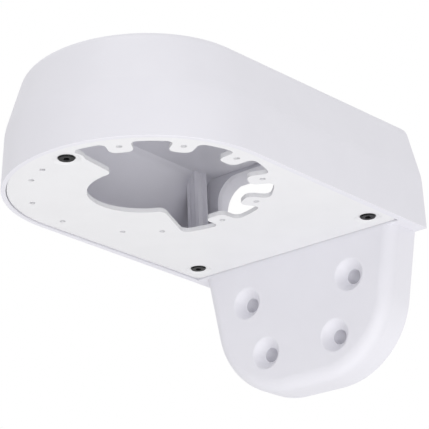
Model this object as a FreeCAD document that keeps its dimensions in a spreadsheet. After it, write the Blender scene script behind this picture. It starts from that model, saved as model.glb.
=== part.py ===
import FreeCAD, Part
import math
import os
import Sketcher

# L-shaped wall bracket for a dome camera: one die-cast housing and a screwed camera plate.
# Frame: X across, Y towards the wall, Z up. The origin is on the wall face, on the centre
# line, level with the rim of the hood.

# Driving sizes in millimetres and degrees
SIZES = {
    # Rim of the hood, and how far its nose lies inside its sides
    "wall_to_nose_centre": 158.5,
    "rim_half_width": 78.8,
    "rim_nose_inset": 1.6,
    "rim_rounding": 2.0,
    "side_lean": 1.0,
    # Crease, where the side starts to lean in, measured in from the rim
    "crease_height": 31.7,
    "crease_nose_inset": 2.0,
    "crease_side_inset": 0.8,
    "crease_rounding": 70.0,
    # Crown, the top of the hood, measured in from the rim
    "crown_height": 68.2,
    "crown_slope": 0.65,
    "crown_nose_inset": 12.6,
    "crown_side_inset": 9.9,
    "crown_rounding": 9.6,
    # Casting wall and the parts inside the hood
    "casting_wall": 4.2,
    "inner_bevel": 3.4,
    "partition_thickness": 3.5,
    "web_thickness": 5.0,
    "arch_side_inset": 22.3,
    "arch_bottom": 7.0,
    "arch_top_inset": 6.4,
    "arch_corner": 16.0,
    # Flange against the wall
    "flange_depth": 23.0,
    "flange_side_inset": 7.3,
    "flange_drop": 82.1,
    "flange_taper": 11.15,
    "flange_corner": 51.0,
    "flange_base_radius": 800.0,
    "flange_rounding": 8.0,
    # Wall screw holes and the bosses behind them
    "upper_hole_half_spacing": 37.5,
    "upper_hole_drop": 23.6,
    "lower_hole_half_spacing": 25.0,
    "lower_hole_drop": 57.4,
    "wall_hole_diameter": 9.0,
    "counterbore_diameter": 19.4,
    "counterbore_depth": 5.8,
    "counterbore_bevel": 0.8,
    "wall_boss_wall": 2.3,
    "wall_boss_foot_wall": 3.5,
    "rib_thickness": 3.0,
    "rib_setback": 1.0,
    "rib_root": 0.5,
    # Camera plate and the edge of the rim left round its seat
    "nose_edge": 2.7,
    "side_edge": 4.3,
    "plate_thickness": 2.5,
    "plate_recess": 0.9,
    "plate_gap": 0.5,
    "plate_corner": 4.0,
    "plate_bevel": 0.4,
    # Holes and opening of the camera plate, about the camera axis
    "camera_axis_offset": 1.8,
    "camera_hole_margin": 10.1,
    "camera_hole_diameter": 3.9,
    "lug_first_angle": -61.2,
    "lug_pitch": 30.0,
    "lug_tip_reach": 7.9,
    "lug_half_width": 6.8,
    "lug_corner": 4.4,
    "lug_root_rounding": 2.5,
    "opening_margin": 4.6,
    "opening_inner_radius": 32.2,
    "opening_start": -82.5,
    "opening_end": 113.5,
    "opening_corner": 4.5,
    # Screws of the camera plate and the bosses that hold them
    "screw_inset": 13.3,
    "screw_side_inset": 11.1,
    "screw_head_diameter": 9.5,
    "screw_head_height": 1.2,
    "screw_crown_diameter": 8.4,
    "screw_lip_height": 0.6,
    "screw_shank_diameter": 4.9,
    "screw_length": 12.0,
    "screw_tip_bevel": 0.6,
    "screw_socket": 3.0,
    "screw_socket_depth": 1.5,
    "screw_recess_diameter": 15.0,
    "screw_ear_diameter": 19.2,
    "screw_recess_depth": 0.9,
    "screw_clearance": 5.5,
    "boss_core_diameter": 8.4,
    "boss_fin_reach": 5.4,
    "boss_long_reach": 7.0,
    "boss_fin_thickness": 3.0,
    "boss_bore": 5.0,
    "boss_bore_depth": 14.0,
}

# Sizes that follow from others through a named margin, inset or wall
TIED = {
    "rim_nose_radius": "rim_half_width - rim_nose_inset",
    "crease_nose_radius": "rim_nose_radius - crease_nose_inset",
    "crease_half_width": "rim_half_width - crease_side_inset",
    "crown_nose_radius": "rim_nose_radius - crown_nose_inset",
    "crown_half_width": "rim_half_width - crown_side_inset",
    "arch_half_width": "rim_half_width - arch_side_inset",
    "arch_top": "crown_height - arch_top_inset",
    "flange_half_width": "rim_half_width - flange_side_inset",
    "wall_boss_diameter": "counterbore_diameter + 2 * wall_boss_wall",
    "wall_boss_foot_diameter": "wall_hole_diameter + 2 * wall_boss_foot_wall",
    "plate_nose_radius": "rim_nose_radius - nose_edge - plate_gap",
    "plate_half_width": "rim_half_width - side_edge - plate_gap",
    "camera_axis": "wall_to_nose_centre - camera_axis_offset",
    "camera_hole_radius": "plate_nose_radius - camera_hole_margin",
    "lug_tip_radius": "camera_hole_radius - lug_tip_reach",
    "opening_outer_radius": "plate_nose_radius - opening_margin",
    "front_screw": "wall_to_nose_centre + plate_nose_radius - screw_inset",
    "rear_screw": "flange_depth + plate_gap + screw_inset",
    "rear_screw_half_spacing": "plate_half_width - screw_side_inset",
}

# Camera holes in the solid part of the plate, as angles about the camera axis
PLAIN_HOLE_ANGLES = (123.0, 143.5, 178.8, 208.8, 238.8, 253.0)
LUG_COUNT = 6


def make_sheet(document):
    """Size table: one row for each size, its name beside its number or its formula."""
    sheet = document.addObject("Spreadsheet::Sheet", "Sizes")
    formulas = {name: "=" + formula for name, formula in TIED.items()}
    for row, (name, size) in enumerate({**SIZES, **formulas}.items(), 1):
        sheet.set(f"A{row}", name)
        sheet.set(f"B{row}", str(size))
        sheet.setAlias(f"B{row}", name)
    document.recompute()
    return sheet


doc = FreeCAD.newDocument("WallBracket")
SHEET = make_sheet(doc)

# Lengths that several sub-parts share
PLATE_TOP = "(Sizes.plate_recess + Sizes.plate_thickness)"
CHAMBER_TOP = "(Sizes.crown_height - Sizes.casting_wall)"
PLATE_BACK = "(Sizes.flange_depth + Sizes.plate_gap)"
SEAT_HEIGHT = "(Sizes.plate_recess + Sizes.screw_recess_depth)"


def value(expression):
    """Number that an expression on the size table gives."""
    return float(SHEET.evalExpression(expression))


def new_body(label):
    """Empty body whose label names the sub-part."""
    body = doc.addObject("PartDesign::Body", label)
    body.Label = label
    return body


def new_sketch(body, name, role, across="0", along="0", height="0", turn="0", axis=(0, 0, 1)):
    """Sketch on one of the body's own origin planes, moved and turned by sizes of the table."""
    sketch = body.newObject("Sketcher::SketchObject", name)
    plane = next(item for item in body.Origin.OriginFeatures if item.Role == role)
    sketch.AttachmentSupport = (plane, [""])
    sketch.MapMode = "FlatFace"
    sketch.AttachmentOffset = FreeCAD.Placement(
        FreeCAD.Vector(value(across), value(along), value(height)),
        FreeCAD.Rotation(FreeCAD.Vector(*axis), value(turn)),
    )
    moves = {"Base.x": across, "Base.y": along, "Base.z": height, "Rotation.Angle": turn}
    for target, expression in moves.items():
        if "Sizes" in expression:
            sketch.setExpression("AttachmentOffset." + target, expression)
    return sketch


def relate(sketch, kind, *parts):
    """Constraint without a size."""
    sketch.addConstraint(Sketcher.Constraint(kind, *parts))


def constrain(sketch, name, kind, *parts, size):
    """Dimension bound to the size table; an angle is given in degrees."""
    number = math.radians(value(size)) if kind == "Angle" else value(size)
    index = sketch.addConstraint(Sketcher.Constraint(kind, *parts, number))
    sketch.renameConstraint(index, name)
    sketch.setExpression("Constraints." + name, f"({size}) * 1 deg" if kind == "Angle" else size)


def place_along(sketch, name, letter, edge, end, size):
    """Holds a point of an edge at a distance from the sketch origin along x or y."""
    number, kind = value(size), "Distance" + letter.upper()
    if abs(number) < 1e-9:
        relate(sketch, "PointOnObject", edge, end, -2 if letter == "x" else -1)
    elif number > 0:
        constrain(sketch, f"{name}_{letter}", kind, -1, 1, edge, end, size=size)
    else:
        constrain(sketch, f"{name}_{letter}", kind, edge, end, -1, 1, size=f"-({size})")


def place_point(sketch, name, edge, end, x, y):
    """Holds a point of an edge at a place given from the sketch origin."""
    place_along(sketch, name, "x", edge, end, x)
    place_along(sketch, name, "y", edge, end, y)


def draw_line(sketch, start, end):
    """Straight edge between two points of the sketch plane."""
    segment = Part.LineSegment(FreeCAD.Vector(*start, 0), FreeCAD.Vector(*end, 0))
    return sketch.addGeometry(segment, False)


def draw_arc(sketch, centre, radius, start, end):
    """Arc that runs anticlockwise between two angles in radians."""
    circle = Part.Circle(FreeCAD.Vector(*centre, 0), FreeCAD.Vector(0, 0, 1), radius)
    return sketch.addGeometry(Part.ArcOfCircle(circle, start, end), False)


def draw_circle(sketch, name, x, y, diameter):
    """Circle with its centre and diameter bound to the size table."""
    centre = FreeCAD.Vector(value(x), value(y), 0)
    circle = Part.Circle(centre, FreeCAD.Vector(0, 0, 1), value(diameter) / 2)
    index = sketch.addGeometry(circle, False)
    constrain(sketch, name + "_size", "Diameter", index, size=diameter)
    place_point(sketch, name, index, 3, x, y)
    return index


def draw_rectangle(sketch, name, low, high):
    """Upright rectangle between two corners given as pairs of expressions."""
    (x0, y0), (x1, y1) = [(value(x), value(y)) for x, y in (low, high)]
    corners = [(x0, y0), (x1, y0), (x1, y1), (x0, y1)]
    edges = [draw_line(sketch, corners[i], corners[(i + 1) % 4]) for i in range(4)]
    for i in range(4):
        relate(sketch, "Coincident", edges[i], 2, edges[(i + 1) % 4], 1)
        relate(sketch, "Vertical" if i % 2 else "Horizontal", edges[i])
    place_point(sketch, name + "_low", edges[0], 1, *low)
    place_point(sketch, name + "_high", edges[1], 2, *high)
    return edges


def draw_nose_profile(sketch, radius, half_width, back=None):
    """D outline seen from above: a nose arc, two sides and a straight back.

    The flat pieces have tangent sides. The sections of the hood all end their arcs at the same
    angle, within half a degree of tangent, so that the nose between them is a true cone.
    """
    r, half = value(radius), value(half_width)
    centre = -value("Sizes.wall_to_nose_centre")
    rear = -value(back) if back else 0.0
    tangent = math.radians(value("Sizes.side_lean"))
    if back:
        tangent = math.atan2(rear - centre, half) - math.acos(r / math.hypot(half, rear - centre))
    touch = (r * math.cos(tangent), centre + r * math.sin(tangent))
    arc = draw_arc(sketch, (0, centre), r, math.pi - tangent, 2 * math.pi + tangent)
    right = draw_line(sketch, touch, (half, rear))
    top = draw_line(sketch, (half, rear), (-half, rear))
    left = draw_line(sketch, (-half, rear), (-touch[0], touch[1]))
    relate(sketch, "PointOnObject", arc, 3, -2)
    join = "Tangent" if back else "Coincident"
    relate(sketch, join, arc, 2, right, 1)
    relate(sketch, "Coincident", right, 2, top, 1)
    relate(sketch, "Coincident", top, 2, left, 1)
    relate(sketch, join, left, 2, arc, 1)
    relate(sketch, "Symmetric", top, 1, top, 2, -2)
    constrain(sketch, "nose_radius", "Radius", arc, size=radius)
    constrain(sketch, "nose_centre", "DistanceY", arc, 3, -1, 1, size="Sizes.wall_to_nose_centre")
    constrain(sketch, "back_width", "DistanceX", top, 2, top, 1, size=f"2 * ({half_width})")
    if back:
        constrain(sketch, "back_place", "DistanceY", top, 1, -1, 1, size=back)
    else:
        relate(sketch, "PointOnObject", top, 1, -1)
        relate(sketch, "Symmetric", arc, 1, arc, 2, -2)
        constrain(sketch, "arc_end", "DistanceY", arc, 3, arc, 2, size=f"({radius}) * sin(Sizes.side_lean)")


def draw_flange_profile(sketch, half_width, top, drop, corner, base):
    """Flange outline seen from the front: tapered sides, round corners and a bowed bottom."""
    half, high = value(half_width), -value(top)
    r, big = value(corner), value(base)
    middle = big - value(drop)
    lean = math.radians(value("Sizes.flange_taper"))
    down = (-math.sin(lean), -math.cos(lean))
    inward = (-math.cos(lean), math.sin(lean))
    # The corner arc lies one radius inside the side and touches the bottom arc from inside
    start = (half + r * inward[0], high + r * inward[1] - middle)
    along = start[0] * down[0] + start[1] * down[1]
    excess = start[0] ** 2 + start[1] ** 2 - (big - r) ** 2
    run = -along + math.sqrt(along * along - excess)
    centre = (start[0] + run * down[0], start[1] + run * down[1] + middle)
    touch = (centre[0] - r * inward[0], centre[1] - r * inward[1])
    turn = math.atan2(centre[1] - middle, centre[0])
    left_side = draw_line(sketch, (-half, high), (-touch[0], touch[1]))
    left_corner = draw_arc(sketch, (-centre[0], centre[1]), r, math.pi + lean, math.pi - turn)
    bottom = draw_arc(sketch, (0, middle), big, math.pi - turn, 2 * math.pi + turn)
    right_corner = draw_arc(sketch, centre, r, turn, -lean)
    right_side = draw_line(sketch, touch, (half, high))
    across = draw_line(sketch, (half, high), (-half, high))
    relate(sketch, "Tangent", left_side, 2, left_corner, 1)
    relate(sketch, "Tangent", left_corner, 2, bottom, 1)
    relate(sketch, "Tangent", bottom, 2, right_corner, 1)
    relate(sketch, "Tangent", right_corner, 2, right_side, 1)
    relate(sketch, "Coincident", right_side, 2, across, 1)
    relate(sketch, "Coincident", across, 2, left_side, 1)
    relate(sketch, "Symmetric", across, 1, across, 2, -2)
    relate(sketch, "Symmetric", left_corner, 3, right_corner, 3, -2)
    relate(sketch, "Equal", left_corner, right_corner)
    constrain(sketch, "corner_radius", "Radius", left_corner, size=corner)
    constrain(sketch, "base_radius", "Radius", bottom, size=base)
    constrain(sketch, "base_centre", "DistanceY", -1, 1, bottom, 3, size=f"({base}) - ({drop})")
    constrain(sketch, "top_width", "DistanceX", across, 2, across, 1, size=f"2 * ({half_width})")
    constrain(sketch, "side_angle", "Angle", right_side, size="90 - Sizes.flange_taper")
    if abs(high) < 1e-9:
        relate(sketch, "PointOnObject", across, 1, -1)
    else:
        constrain(sketch, "top_place", "DistanceY", across, 1, -1, 1, size=top)


def add_loft(body, name, sections):
    """Straight-sided loft through outlines that lie above each other, from the top one down."""
    loft = body.newObject("PartDesign::AdditiveLoft", name)
    loft.Profile = sections[-1]
    loft.Sections = [(section, [""]) for section in sections[-2::-1]]
    loft.Ruled = True
    doc.recompute()
    return loft


def add_pad(body, name, sketch, length, reverse=False):
    """Material built up from a sketch along its normal."""
    pad = body.newObject("PartDesign::Pad", name)
    pad.Profile = sketch
    pad.setExpression("Length", length)
    pad.Reversed = reverse
    doc.recompute()
    return pad


def cut_pocket(body, name, sketch, length=None, reverse=False):
    """Material cut away against the normal of a sketch, or with it if reversed."""
    before = body.Shape.Volume
    pocket = body.newObject("PartDesign::Pocket", name)
    pocket.Profile = sketch
    pocket.Reversed = reverse
    if length:
        pocket.setExpression("Length", length)
    else:
        pocket.Type = "ThroughAll"
    doc.recompute()
    if body.Shape.Volume > before - 1e-3:
        raise RuntimeError(f"{name} cuts nothing")
    return pocket


def dress_edges(body, kind, name, measure, size, wanted):
    """Treats every edge of the body's shape that the test picks."""
    base = body.Tip
    edges = [f"Edge{i}" for i, edge in enumerate(base.Shape.Edges, 1) if wanted(edge)]
    if not edges:
        raise RuntimeError(f"{name} finds no edge")
    feature = body.newObject("PartDesign::" + kind, name)
    feature.Base = (base, edges)
    feature.setExpression(measure, size)
    doc.recompute()
    return feature


def round_edges(body, name, radius, wanted):
    """Rounds the picked edges."""
    return dress_edges(body, "Fillet", name, "Radius", radius, wanted)


def bevel_edges(body, name, size, wanted):
    """Bevels the picked edges at 45 degrees."""
    return dress_edges(body, "Chamfer", name, "Size", size, wanted)


def lies_at(edge, axis, place, slack=1e-4):
    """True if the whole edge lies in the plane across an axis at a place."""
    box = edge.BoundBox
    low, high = {"x": (box.XMin, box.XMax), "y": (box.YMin, box.YMax), "z": (box.ZMin, box.ZMax)}[axis]
    return abs(low - place) < slack and abs(high - place) < slack


def build_chamber_core():
    """Hollow of the hood as a solid: both chambers, the arch between them, less the screw bosses."""
    body = new_body("chamber_core")
    wall = "Sizes.casting_wall"
    levels = (
        ("CoreRim", "0", "rim", "0"),
        ("CoreCrease", "Sizes.crease_height", "crease", "0"),
        ("CoreCrown", CHAMBER_TOP, "crown", "Sizes.crown_slope"),
    )
    sections = []
    for name, height, level, slope in levels:
        sketch = new_sketch(body, name, "XY_Plane", height=height, turn=slope, axis=(1, 0, 0))
        radius = f"Sizes.{level}_nose_radius - {wall}"
        draw_nose_profile(sketch, radius, f"Sizes.{level}_half_width - {wall}")
        sections.append(sketch)
    add_loft(body, "CoreLoft", sections)
    ceiling = value(CHAMBER_TOP) - 5
    bevel_edges(
        body, "CoreBevel", "Sizes.inner_bevel",
        lambda edge: edge.BoundBox.ZMin > ceiling and not lies_at(edge, "y", 0),
    )

    # Slab left standing as the partition, around the cable arch
    slab = new_sketch(body, "PartitionOutline", "XZ_Plane", height="Sizes.flange_depth")
    reach = "Sizes.rim_half_width"
    draw_rectangle(slab, "slab", (f"-{reach}", "-Sizes.casting_wall"), (reach, "Sizes.crown_height"))
    draw_arch(slab)
    cut_pocket(body, "Partition", slab, "Sizes.partition_thickness")

    # Floor of the rear chamber, over the flange
    floor = new_sketch(body, "FloorOutline", "XY_Plane", height="Sizes.web_thickness / 2")
    draw_rectangle(floor, "floor", (f"-{reach}", "-Sizes.flange_depth"), (reach, "0"))
    cut_pocket(body, "Floor", floor)

    # Bosses from the seat of the plate up into the ceiling
    # The long fin points at the wall from the nose, and inwards from the two by the flange
    turns = ("90", "45", "135")
    for number, ((x, y), turn) in enumerate(zip(screw_places(), turns), 1):
        outline = new_sketch(
            body, f"BossOutline{number}", "XY_Plane", across=x, along=y, height=PLATE_TOP, turn=turn)
        draw_boss(outline)
        cut_pocket(body, f"Boss{number}", outline, reverse=True)
    return body


def screw_places():
    """Places of the plate screws: one at the nose and two by the flange."""
    return (
        ("0", "-Sizes.front_screw"),
        ("-Sizes.rear_screw_half_spacing", "-Sizes.rear_screw"),
        ("Sizes.rear_screw_half_spacing", "-Sizes.rear_screw"),
    )


def draw_arch(sketch):
    """Cable arch: a rectangle with two large round corners at the top."""
    half, low, high = [value("Sizes.arch_" + part) for part in ("half_width", "bottom", "top")]
    r = value("Sizes.arch_corner")
    floor = draw_line(sketch, (-half, low), (half, low))
    right = draw_line(sketch, (half, low), (half, high - r))
    right_arc = draw_arc(sketch, (half - r, high - r), r, 0, math.pi / 2)
    top = draw_line(sketch, (half - r, high), (r - half, high))
    left_arc = draw_arc(sketch, (r - half, high - r), r, math.pi / 2, math.pi)
    left = draw_line(sketch, (-half, high - r), (-half, low))
    ring = (floor, right, right_arc, top, left_arc, left)
    for first, second in zip(ring, ring[1:] + ring[:1]):
        smooth = right_arc in (first, second) or left_arc in (first, second)
        relate(sketch, "Tangent" if smooth else "Coincident", first, 2, second, 1)
    relate(sketch, "Horizontal", top)
    relate(sketch, "Vertical", right)
    relate(sketch, "Vertical", left)
    relate(sketch, "Equal", right_arc, left_arc)
    relate(sketch, "Symmetric", floor, 1, floor, 2, -2)
    constrain(sketch, "arch_corner", "Radius", right_arc, size="Sizes.arch_corner")
    constrain(sketch, "arch_width", "DistanceX", floor, 1, floor, 2, size="2 * Sizes.arch_half_width")
    constrain(sketch, "arch_floor", "DistanceY", -1, 1, floor, 1, size="Sizes.arch_bottom")
    constrain(sketch, "arch_crown", "DistanceY", -1, 1, top, 1, size="Sizes.arch_top")


def draw_boss(sketch):
    """Section of a screw boss: a round core with four fins, the first of them longer."""
    r = value("Sizes.boss_core_diameter") / 2
    reaches = [value("Sizes.boss_long_reach")] + 3 * [value("Sizes.boss_fin_reach")]
    half = value("Sizes.boss_fin_thickness") / 2
    root = math.sqrt(r * r - half * half)
    side = math.atan2(half, root)
    ring = []
    for quarter, reach in enumerate(reaches):
        turn = quarter * math.pi / 2
        cos, sin = round(math.cos(turn)), round(math.sin(turn))
        points = [(root, -half), (reach, -half), (reach, half), (root, half)]
        points = [(x * cos - y * sin, x * sin + y * cos) for x, y in points]
        fin = [draw_line(sketch, points[i], points[i + 1]) for i in range(3)]
        arc = draw_arc(sketch, (0, 0), r, turn + side, turn + math.pi / 2 - side)
        ring += fin + [arc]
        relate(sketch, "Vertical" if quarter % 2 else "Horizontal", fin[0])
        relate(sketch, "Vertical" if quarter % 2 else "Horizontal", fin[2])
        relate(sketch, "Symmetric", fin[1], 1, fin[1], 2, -2 if quarter % 2 else -1)
        relate(sketch, "Coincident", arc, 3, -1, 1)
        if quarter:
            relate(sketch, "Equal", fin[1], ring[1])
            relate(sketch, "Equal", arc, ring[3])
    for first, second in zip(ring, ring[1:] + ring[:1]):
        relate(sketch, "Coincident", first, 2, second, 1)
    constrain(sketch, "core", "Radius", ring[3], size="Sizes.boss_core_diameter / 2")
    constrain(sketch, "fin", "DistanceY", ring[1], 1, ring[1], 2, size="Sizes.boss_fin_thickness")
    constrain(sketch, "reach_right", "DistanceX", -1, 1, ring[1], 1, size="Sizes.boss_long_reach")
    constrain(sketch, "reach_up", "DistanceY", -1, 1, ring[5], 1, size="Sizes.boss_fin_reach")
    constrain(sketch, "reach_left", "DistanceX", ring[9], 1, -1, 1, size="Sizes.boss_fin_reach")
    constrain(sketch, "reach_down", "DistanceY", ring[13], 1, -1, 1, size="Sizes.boss_fin_reach")


def wall_hole_places():
    """Places of the four wall screws in the plane of the flange."""
    return [
        (f"{sign}Sizes.{row}_hole_half_spacing", f"-Sizes.{row}_hole_drop")
        for row in ("upper", "lower")
        for sign in ("-", "")
    ]


def draw_wall_circles(sketch, diameter):
    """One circle at each wall screw."""
    for number, (x, y) in enumerate(wall_hole_places(), 1):
        draw_circle(sketch, f"hole{number}", x, y, diameter)


def build_housing(core):
    """Die-cast housing: the hood, the flange against the wall and everything cast inside them."""
    body = new_body("bracket_housing")
    levels = (
        ("Rim", "0", "rim", "0"),
        ("Crease", "Sizes.crease_height", "crease", "0"),
        ("Crown", "Sizes.crown_height", "crown", "Sizes.crown_slope"),
    )
    sections = []
    for name, height, level, slope in levels:
        sketch = new_sketch(body, name, "XY_Plane", height=height, turn=slope, axis=(1, 0, 0))
        draw_nose_profile(sketch, f"Sizes.{level}_nose_radius", f"Sizes.{level}_half_width")
        sections.append(sketch)
    add_loft(body, "Hood", sections)

    crease, crown = value("Sizes.crease_height"), value("Sizes.crown_height") - 5
    round_edges(
        body, "CrownRounding", "Sizes.crown_rounding",
        lambda edge: edge.BoundBox.ZMin > crown and not lies_at(edge, "y", 0),
    )
    round_edges(
        body, "CreaseRounding", "Sizes.crease_rounding",
        lambda edge: lies_at(edge, "z", crease) and not lies_at(edge, "y", 0),
    )
    round_edges(
        body, "RimRounding", "Sizes.rim_rounding",
        lambda edge: lies_at(edge, "z", 0) and not lies_at(edge, "y", 0),
    )

    # Flange block and its large round front edge
    block = new_sketch(body, "FlangeOutline", "XZ_Plane")
    draw_flange_profile(
        block, "Sizes.flange_half_width", "0", "Sizes.flange_drop",
        "Sizes.flange_corner", "Sizes.flange_base_radius")
    add_pad(body, "Flange", block, "Sizes.flange_depth")
    front = -value("Sizes.flange_depth")
    round_edges(
        body, "FlangeRounding", "Sizes.flange_rounding",
        lambda edge: lies_at(edge, "y", front) and edge.BoundBox.ZMin < -1,
    )

    # Hollow of the hood
    hollow = body.newObject("PartDesign::Boolean", "Chambers")
    hollow.setObjects([core])
    hollow.Type = "Cut"
    doc.recompute()

    # Seat of the camera plate
    seat = new_sketch(body, "SeatOutline", "XY_Plane")
    draw_nose_profile(
        seat, "Sizes.plate_nose_radius + Sizes.plate_gap", "Sizes.plate_half_width + Sizes.plate_gap",
        "Sizes.flange_depth")
    cut_pocket(body, "PlateSeat", seat, PLATE_TOP, reverse=True)

    # Hollow back of the flange, with a boss left round each wall screw
    back = new_sketch(body, "BackOutline", "XZ_Plane")
    lean = "Sizes.flange_taper"
    wall = "Sizes.casting_wall"
    top = "Sizes.web_thickness / 2"
    draw_flange_profile(
        back, f"Sizes.flange_half_width - {wall} / cos({lean}) - {top} * tan({lean})", top,
        f"Sizes.flange_drop - {wall}", f"Sizes.flange_corner - {wall}",
        f"Sizes.flange_base_radius - {wall}")
    draw_wall_circles(back, "Sizes.wall_boss_diameter")
    cut_pocket(body, "FlangeBack", back, f"Sizes.flange_depth - {wall}", reverse=True)

    # The bosses step down to a narrower foot, past the counterbores
    foot = new_sketch(body, "FootOutline", "XZ_Plane")
    for number, (x, y) in enumerate(wall_hole_places(), 1):
        draw_circle(foot, f"boss{number}", x, y, "Sizes.wall_boss_diameter")
        draw_circle(foot, f"foot{number}", x, y, "Sizes.wall_boss_foot_diameter")
    depth = f"Sizes.flange_depth - Sizes.counterbore_depth - {wall}"
    cut_pocket(body, "BossFeet", foot, depth, reverse=True)

    # Ribs that stiffen the front of the flange, set back from the wall and rooted in what they meet
    root = "Sizes.rib_root"
    rib_height = f"Sizes.flange_depth - {wall} + {root} - Sizes.rib_setback"
    upright = new_sketch(body, "UprightRib", "XZ_Plane", height="Sizes.rib_setback")
    draw_rectangle(
        upright, "rib", ("-Sizes.rib_thickness / 2", f"{wall} - {root} - Sizes.flange_drop"),
        ("Sizes.rib_thickness / 2", f"{root} - {top}"))
    add_pad(body, "UprightRibPad", upright, rib_height)
    level = new_sketch(body, "LevelRib", "XZ_Plane", height="Sizes.rib_setback")
    side = f"(Sizes.upper_hole_half_spacing - Sizes.wall_boss_foot_diameter / 2 + {root})"
    middle = "Sizes.upper_hole_drop"
    draw_rectangle(
        level, "rib", (f"-{side}", f"-{middle} - Sizes.rib_thickness / 2"),
        (side, f"Sizes.rib_thickness / 2 - {middle}"))
    add_pad(body, "LevelRibPad", level, rib_height)

    # Wall screws: a counterbore in the front and a hole right through
    bores = new_sketch(body, "CounterboreOutline", "XZ_Plane", height="Sizes.flange_depth")
    draw_wall_circles(bores, "Sizes.counterbore_diameter")
    cut_pocket(body, "Counterbores", bores, "Sizes.counterbore_depth")
    holes = new_sketch(body, "WallHoleOutline", "XZ_Plane", height="Sizes.flange_depth")
    draw_wall_circles(holes, "Sizes.wall_hole_diameter")
    cut_pocket(body, "WallHoles", holes)
    rim = value("Sizes.counterbore_diameter") / 2
    bevel_edges(
        body, "CounterboreBevel", "Sizes.counterbore_bevel",
        lambda edge: lies_at(edge, "y", front) and abs(getattr(edge.Curve, "Radius", 0) - rim) < 1e-4,
    )

    # Blind holes for the plate screws
    blind = new_sketch(body, "BossBoreOutline", "XY_Plane", height=PLATE_TOP)
    for number, (x, y) in enumerate(screw_places(), 1):
        draw_circle(blind, f"bore{number}", x, y, "Sizes.boss_bore")
    cut_pocket(body, "BossBores", blind, "Sizes.boss_bore_depth", reverse=True)
    return body


def draw_opening(sketch):
    """Camera opening about the sketch origin: a round middle with a wide ring sector beside it."""
    outer, inner = value("Sizes.opening_outer_radius"), value("Sizes.opening_inner_radius")
    start, end = (math.radians(value("Sizes.opening_" + side)) for side in ("start", "end"))
    def polar(radius, angle):
        return (radius * math.cos(angle), radius * math.sin(angle))
    wide = draw_arc(sketch, (0, 0), outer, start, end)
    fall = draw_line(sketch, polar(outer, end), polar(inner, end))
    small = draw_arc(sketch, (0, 0), inner, end, start + 2 * math.pi)
    rise = draw_line(sketch, polar(inner, start), polar(outer, start))
    relate(sketch, "Coincident", wide, 3, -1, 1)
    relate(sketch, "Coincident", small, 3, -1, 1)
    relate(sketch, "Coincident", wide, 2, fall, 1)
    relate(sketch, "Coincident", fall, 2, small, 1)
    relate(sketch, "Coincident", small, 2, rise, 1)
    relate(sketch, "Coincident", rise, 2, wide, 1)
    relate(sketch, "PointOnObject", -1, 1, fall)
    relate(sketch, "PointOnObject", -1, 1, rise)
    constrain(sketch, "outer", "Radius", wide, size="Sizes.opening_outer_radius")
    constrain(sketch, "inner", "Radius", small, size="Sizes.opening_inner_radius")
    place_along(sketch, "start", "x", rise, 2, "Sizes.opening_outer_radius * cos(Sizes.opening_start)")
    place_along(sketch, "end", "x", fall, 1, "Sizes.opening_outer_radius * cos(Sizes.opening_end)")


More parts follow.
